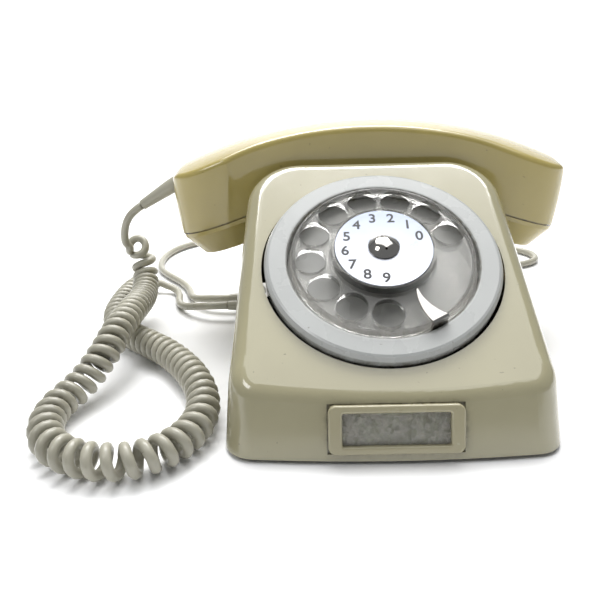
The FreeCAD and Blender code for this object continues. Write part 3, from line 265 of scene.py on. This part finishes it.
SURFACES = {
    "case_plastic": surface("case_plastic", (0.335, 0.31, 0.195), 0.18, mottle=0.06, grime_and_shade=0.9, coat=0.8),
    "handset_plastic": surface("handset_plastic", (0.40, 0.325, 0.105), 0.17, mottle=0.07,
                               grime_and_shade=0.7, coat=0.6),
    "bezel_plastic": surface("bezel_plastic", (0.385, 0.395, 0.385), 0.28, mottle=0.06, grime_and_shade=1.0,
                             coat=0.2),
    "dial_plastic": surface("dial_plastic", (0.29, 0.29, 0.275), 0.30, mottle=0.10, grime_and_shade=0.7),
    "clear_plastic": acrylic(),
    "number_metal": spun_metal(),
    "bright_metal": surface("bright_metal", (0.52, 0.50, 0.47), 0.10, metallic=1.0, mottle=0.06, grime_and_shade=0.4,
                            grime_and_shade_reach=0.001),
    "plated_steel": surface("plated_steel", (0.55, 0.54, 0.50), 0.35, metallic=1.0, mottle=0.15, grime_and_shade=0.4),
    "brass": surface("brass", (0.72, 0.53, 0.23), 0.28, metallic=1.0, mottle=0.15, grime_and_shade=0.4),
    "base_metal": surface("base_metal", (0.30, 0.30, 0.28), 0.45, metallic=0.3, mottle=0.1, grime_and_shade=0.5),
    "foot_rubber": surface("foot_rubber", (0.035, 0.034, 0.032), 0.75, mottle=0.2, grain=1800,
                           relief=0.00006),
    "label_plastic": surface("label_plastic", (0.345, 0.315, 0.20), 0.24, mottle=0.06, grime_and_shade=0.9,
                             grime_and_shade_reach=0.003, coat=0.4),
    "label_paper": surface("label_paper", (0.42, 0.43, 0.35), 0.65, mottle=0.07, grain=2600, relief=0.00005,
                           grime_and_shade=0.4, grime_and_shade_reach=0.003),
    "cord_grey": vinyl(),
    "dark_plastic": surface("dark_plastic", (0.05, 0.045, 0.04), 0.5, mottle=0.2, grime_and_shade=0.3),
}
# Black print for the digits; the same dark material is painted shade in the nut's spanner holes.
INK_AND_SHADE = surface("dial_ink_and_shade", (0.012, 0.012, 0.013), 0.4, mottle=0.3)

for part in frame["record"]["subparts"]:
    shown = frame["nodes"][part["node"]]
    for place in shown.material_slots:
        place.material = SURFACES[part["material_slot"]]

# ---------------------------------------------------------------- cords

CURLY_WIRE = 4.6 * MM
CURLY_OUTER = 15.5 * MM
LINE_WIRE = 4.6 * MM

LEAD = [
    (-127.4, 49.2, 70.4), (-133.3, 49.5, 66.9), (-138.1, 50.0, 60.8),
    (-140.8, 51.5, 52.5), (-141.2, 54.0, 44.5),
]
COIL = [
    (-134.3, 60.6, 42.0), (-133.5, 60.3, 34.5), (-132.3, 57.3, 26.8),
    (-131.2, 50.8, 21.4), (-130.0, 41.0, 19.6),
    (-128.5, 27.0, 20.8), (-127.5, 2.0, 25.0), (-128.5, -24.0, 25.5),
    (-132.0, -41.0, 19.0), (-140.0, -53.0, 10.5),
    (-147.0, -66.0, 8.2), (-146.5, -83.0, 8.2), (-138.0, -99.0, 8.2),
    (-121.0, -108.5, 8.2), (-102.0, -109.0, 8.2),
    (-87.0, -98.5, 8.2), (-80.0, -81.0, 8.2), (-81.5, -61.0, 8.2),
    (-90.0, -39.0, 8.2), (-105.0, -17.0, 8.2),
    (-122.0, -1.0, 8.2), (-137.0, 12.0, 8.2), (-147.0, 32.0, 8.2), (-148.0, 57.0, 8.2), (-146.5, 77.0, 8.2),
    (-140.5, 89.5, 8.2),
]
TAIL = [
    (-133.3, 92.0, 6.0), (-126.3, 91.6, 4.3), (-120.6, 87.4, 2.9), (-117.5, 79.6, 2.3), (-116.5, 69.0, 2.3),
    (-112.5, 59.0, 3.4), (-105.3, 51.5, 5.8), (-95.5, 46.8, 8.0), (-87.5, 46.0, 8.4), (-81.84, 46.0, 8.4),
]
LINE = [
    (-81.84, 58.0, 8.4), (-89.5, 58.0, 8.4), (-98.5, 61.3, 7.0), (-105.5, 68.3, 4.6), (-109.5, 78.0, 2.8),
    (-113.0, 91.0, 2.5), (-120.0, 104.0, 2.5), (-131.0, 117.0, 2.5),
    (-140.5, 132.0, 2.5), (-144.0, 152.0, 2.5),
    (-141.5, 172.0, 2.5), (-131.5, 190.0, 2.5), (-113.0, 203.0, 2.5),
    (-88.0, 208.5, 2.5), (-60.0, 207.0, 2.5),
    (-30.0, 200.0, 2.5), (2.0, 192.5, 2.5), (34.0, 187.0, 2.5), (62.0, 177.0, 2.5), (84.0, 170.5, 2.5),
    (102.0, 168.5, 2.5), (117.0, 164.5, 2.5), (128.5, 157.0, 2.5), (134.5, 146.5, 2.5), (132.5, 134.5, 2.5),
    (123.0, 126.5, 2.5), (109.0, 122.5, 2.5), (93.0, 119.0, 2.5), (75.0, 114.5, 2.5), (55.0, 112.0, 2.5),
    (37.0, 112.3, 2.5),
]
PLUG_TAIL = [
    (-2.0, 111.6, 5.0), (-14.5, 110.8, 2.9), (-28.0, 113.0, 2.5), (-39.5, 119.0, 2.5), (-47.5, 128.5, 2.9),
    (-51.3, 139.5, 4.8), (-52.0, 148.0, 6.5),
]
WOUND_AT = Vector((20.0, 145.0, 0.2))
WOUND_MIDDLE = 27.5
WOUND_TURNS = 6


def spline_curve(name, points, thickness=0.0):
    """A smooth cord line with those points as its control points."""
    data = bpy.data.curves.new(name, "CURVE")
    data.dimensions = "3D"
    data.resolution_u = 12
    spline = data.splines.new("NURBS")
    spline.points.add(len(points) - 1)
    for point, place in zip(spline.points, points):
        point.co = (*(Vector(place) * MM), 1.0)
    spline.order_u = 3
    spline.use_endpoint_u = True
    data.bevel_depth = thickness / 2
    data.bevel_resolution = 5
    data.use_fill_caps = True
    piece = bpy.data.objects.new(name, data)
    bpy.context.collection.objects.link(piece)
    return piece


def line_points(points):
    """The places along the smooth line through a route."""
    guide = spline_curve("guide", points)
    mesh = bpy.data.meshes.new_from_object(guide)
    places = [v.co.copy() for v in mesh.vertices]
    bpy.data.objects.remove(guide)
    bpy.data.meshes.remove(mesh)
    return places


def smooth_step(value, low, high):
    share = min(1.0, max(0.0, (value - low) / (high - low)))
    return share * share * (3 - 2 * share)


def curled(route, lead_end, coil_end, radius, per_turn=16):
    """The line of a curly cord: it winds round the route between two lengths, loose at both ends."""
    lengths = [0.0]
    for here, there in zip(route, route[1:]):
        lengths.append(lengths[-1] + (there - here).length)
    places, along, turn, at = [], 0.0, 0.0, 0
    tangent = (route[1] - route[0]).normalized()
    normal = tangent.orthogonal().normalized()
    while along < lengths[-1]:
        while lengths[at + 1] < along:
            at += 1
        share = (along - lengths[at]) / (lengths[at + 1] - lengths[at])
        centre = route[at].lerp(route[at + 1], share)
        ahead = (route[at + 1] - route[at]).normalized()
        normal = tangent.rotation_difference(ahead) @ normal
        normal = (normal - ahead * normal.dot(ahead)).normalized()
        tangent = ahead
        swell = smooth_step(along, lead_end, lead_end + 7 * MM)
        swell *= 1 - smooth_step(along, coil_end, coil_end + 20 * MM)
        uneven = 0.35 * math.sin(along * 61) + 0.25 * math.sin(along * 173 + 1)
        front = smooth_step(-centre.y, 30 * MM, 60 * MM)
        loose_start = 1 - smooth_step(along, lead_end + 14 * MM, lead_end + 34 * MM)
        loose_end = smooth_step(along, coil_end - 4 * MM, coil_end + 10 * MM)
        pitch = (5.45 + uneven + 1.5 * front + 3.0 * loose_start + 8.0 * loose_end) * MM
        side = ahead.cross(normal)
        places.append(centre + swell * radius * (math.cos(turn) * normal + math.sin(turn) * side))
        if swell == 0:
            along += 2.0 * MM
        else:
            turn += 2 * math.pi / per_turn
            along += pitch / per_turn
    return places + [route[-1].copy()]


def tube_mesh(name, places, radius, around=10):
    """A round tube along a line, closed at both ends."""
    rings, tangent = [], (places[1] - places[0]).normalized()
    normal = tangent.orthogonal().normalized()
    for before, here, after in zip([places[0]] + places, places, places[1:] + [places[-1]]):
        ahead = (after - before).normalized()
        normal = tangent.rotation_difference(ahead) @ normal
        normal = (normal - ahead * normal.dot(ahead)).normalized()
        tangent = ahead
        side = ahead.cross(normal)
        angles = [2 * math.pi * i / around for i in range(around)]
        rings += [here + radius * (math.cos(a) * normal + math.sin(a) * side) for a in angles]
    faces = []
    for ring in range(len(places) - 1):
        for i in range(around):
            j = (i + 1) % around
            low, high = ring * around, (ring + 1) * around
            faces.append((low + i, low + j, high + j, high + i))
    faces.append(tuple(reversed(range(around))))
    faces.append(tuple(range(len(rings) - around, len(rings))))
    mesh = bpy.data.meshes.new(name)
    mesh.from_pydata(rings, [], faces)
    mesh.shade_smooth()
    piece = bpy.data.objects.new(name, mesh)
    bpy.context.collection.objects.link(piece)
    return piece


def length_of(places):
    return sum((b - a).length for a, b in zip(places, places[1:]))


def curly_cord():
    lead_length = length_of(line_points(LEAD + COIL[:1])) - 10 * MM
    coil_length = length_of(line_points(LEAD + COIL)) - 6 * MM
    route = line_points(LEAD + COIL + TAIL)
    places = curled(route, lead_length, coil_length, (CURLY_OUTER - CURLY_WIRE) / 2)
    piece = tube_mesh("handset_cord", places, CURLY_WIRE / 2)
    piece.data.materials.append(SURFACES["cord_grey"])
    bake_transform(piece)
    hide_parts("handset_cord_lead", "handset_cord_coil", "handset_cord_tail")


def line_cord():
    wound = []
    rows = [32.1, WOUND_MIDDLE, 22.9, 22.9, WOUND_MIDDLE, 32.1]
    steps = 16
    for i in range(WOUND_TURNS * steps):
        turns = i / steps
        here = rows[min(int(turns), len(rows) - 1)]
        there = rows[min(int(turns) + 1, len(rows) - 1)]
        radius = here + (there - here) * smooth_step(turns % 1, 0.7, 1.0)
        lift = 2.35 + 4.5 * smooth_step(turns, 2.7, 3.0)
        angle = -math.pi / 2 - 2 * math.pi * turns
        wound.append(WOUND_AT + Vector((radius * math.cos(angle), radius * math.sin(angle), lift)))
    piece = spline_curve("phone_line", LINE + [tuple(p) for p in wound] + PLUG_TAIL, LINE_WIRE)
    piece.data.materials.append(SURFACES["cord_grey"])
    route = line_points(LINE + [tuple(p) for p in wound] + PLUG_TAIL)
    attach(piece, "phone")
    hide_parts("line_cord", "line_cord_coil", "line_cord_tail")


curly_cord()
line_cord()

# ---------------------------------------------------------------- dial digits

DIGIT_RING = 17.2 * MM
DIGIT_SIZE = 7.2 * MM
DIGIT_BOLD = 0.14 * MM
DIGIT_LIFT = 0.015 * MM
PLATE_TOP = 3.9 * MM
HOLE_FIRST, HOLE_STEP = 20.0, 27.7


def digits():
    for i in range(10):
        angle = math.radians(HOLE_FIRST + HOLE_STEP * i)
        data = bpy.data.curves.new(f"digit_{i}", "FONT")
        data.body = str(i)
        data.size = DIGIT_SIZE
        data.extrude = 0.01 * MM
        data.bevel_depth = DIGIT_BOLD
        data.bevel_resolution = 0
        data.align_x = "CENTER"
        data.align_y = "CENTER"
        piece = bpy.data.objects.new(f"digit_{i}", data)
        across, up = DIGIT_RING * math.cos(angle), DIGIT_RING * math.sin(angle)
        spot = Matrix.Translation((across, up, PLATE_TOP + DIGIT_LIFT))
        piece.matrix_world = DIAL @ spot
        bpy.context.collection.objects.link(piece)
        data.materials.append(INK_AND_SHADE)
        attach(piece, "dial")


NUT_HOLES = [(-0.5 * MM, 3.5 * MM), (0.5 * MM, -3.5 * MM)]
NUT_HOLE_RADIUS = 0.55 * MM
DISC_LEVELS = (-0.1 * MM, 0.03 * MM)
DISC_SIDES = 20


def nut_holes():
    """Two small spanner holes in the domed nut, each a thin disc of painted shade that lies on the dome."""
    nut = frame["nodes"]["dial_centre_nut"]
    to_nut = nut.matrix_world.inverted()
    for i, (across, up) in enumerate(NUT_HOLES):
        start = to_nut @ (DIAL @ Vector((across, up, 30 * MM)))
        hit, spot, normal, _ = nut.ray_cast(start, to_nut.to_3x3() @ -DIAL_NORMAL)
        if not hit:
            continue
        turn = (nut.matrix_world.to_3x3() @ normal).to_track_quat("Z", "Y").to_matrix()
        centre = nut.matrix_world @ spot
        sides = [2 * math.pi * k / DISC_SIDES for k in range(DISC_SIDES)]
        corners = [centre + turn @ Vector((NUT_HOLE_RADIUS * math.cos(a), NUT_HOLE_RADIUS * math.sin(a), z))
                   for z in DISC_LEVELS for a in sides]
        faces = [tuple(reversed(range(DISC_SIDES))), tuple(range(DISC_SIDES, 2 * DISC_SIDES))]
        for here in range(DISC_SIDES):
            there = (here + 1) % DISC_SIDES
            faces.append((here, there, DISC_SIDES + there, DISC_SIDES + here))
        # Painted shade: the hole is not cut; this dark disc stands for the shade inside it.
        mesh = bpy.data.meshes.new(f"nut_hole_{i}")
        mesh.from_pydata(corners, [], faces)
        mesh.materials.append(INK_AND_SHADE)
        piece = bpy.data.objects.new(f"nut_hole_{i}", mesh)
        bpy.context.collection.objects.link(piece)
        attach(piece, "dial")


digits()
nut_holes()

# ---------------------------------------------------------------- light


def area_light(name, place, aim, width, height, power, colour=(1, 1, 1)):
    data = bpy.data.lights.new(name, "AREA")
    data.shape = "RECTANGLE"
    data.size = width
    data.size_y = height
    data.energy = power
    data.color = colour
    lamp = bpy.data.objects.new(name, data)
    lamp.location = place
    lamp.rotation_euler = (Vector(aim) - Vector(place)).to_track_quat("-Z", "Y").to_euler()
    bpy.context.collection.objects.link(lamp)


def floor():
    mesh = bpy.data.meshes.new("floor")
    mesh.from_pydata([(-8, -8, 0), (8, -8, 0), (8, 5, 0), (-8, 5, 0), (8, 5, 6), (-8, 5, 6)], [],
                     [(0, 1, 2, 3), (3, 2, 4, 5)])
    piece = bpy.data.objects.new("floor", mesh)
    piece.location.z = -0.0003
    bpy.context.collection.objects.link(piece)
    material = surface("floor_paper", (0.93, 0.93, 0.93), 0.8, mottle=0.01, grain=300, relief=0.00001)
    mesh.materials.append(material)


floor()
area_light("overhead", (0.10, 0.15, 1.15), (0, 0, 0.03), 1.3, 1.0, 9)
area_light("window_left", (-0.55, -0.45, 0.85), (0, -0.02, 0.05), 0.32, 0.32, 2.2)
area_light("backdrop_light", (0, 2.2, 3.4), (0, 3.6, 0), 3.0, 3.0, 260)
world = bpy.data.worlds.new("world")
bpy.context.scene.world = world
world.use_nodes = True
world.node_tree.nodes["Background"].inputs["Color"].default_value = (0.93, 0.96, 1.0, 1.0)
world.node_tree.nodes["Background"].inputs["Strength"].default_value = 0.24
bpy.context.scene.view_settings.view_transform = "Standard"
